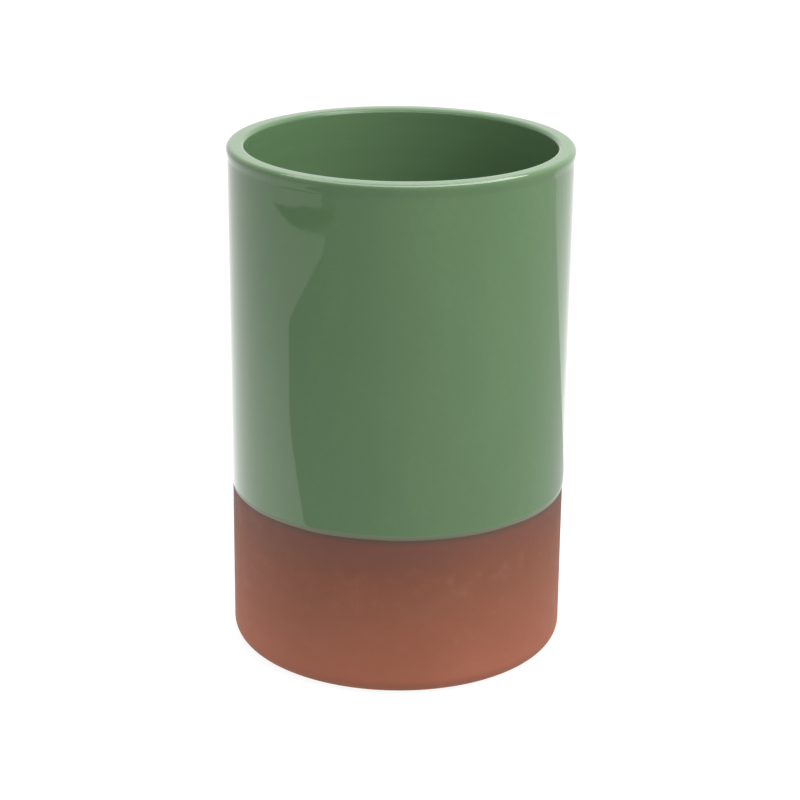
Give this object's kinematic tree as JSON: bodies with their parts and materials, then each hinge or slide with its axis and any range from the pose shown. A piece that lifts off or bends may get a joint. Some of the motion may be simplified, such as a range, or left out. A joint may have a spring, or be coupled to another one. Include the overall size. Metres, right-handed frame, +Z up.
{
  "type": "terracotta pot",
  "caption": "Tall straight-sided terracotta plant pot with a drain hole, dipped in green glaze down to a bare clay band at the foot.",
  "frame": {"origin": "centre of the foot ring, on the surface that the pot stands on", "axes": "+Z up along the pot's axis, through the drain hole and out of the mouth; X and Y are any two horizontal directions"},
  "size_m": [0.133, 0.133, 0.2008],
  "materials": {
    "terracotta": "matte",
    "green_glaze": "gloss"
  },
  "bodies": {
    "root": {"clay_body": "terracotta", "glaze_coat": "green_glaze"}
  },
  "joints": []
}
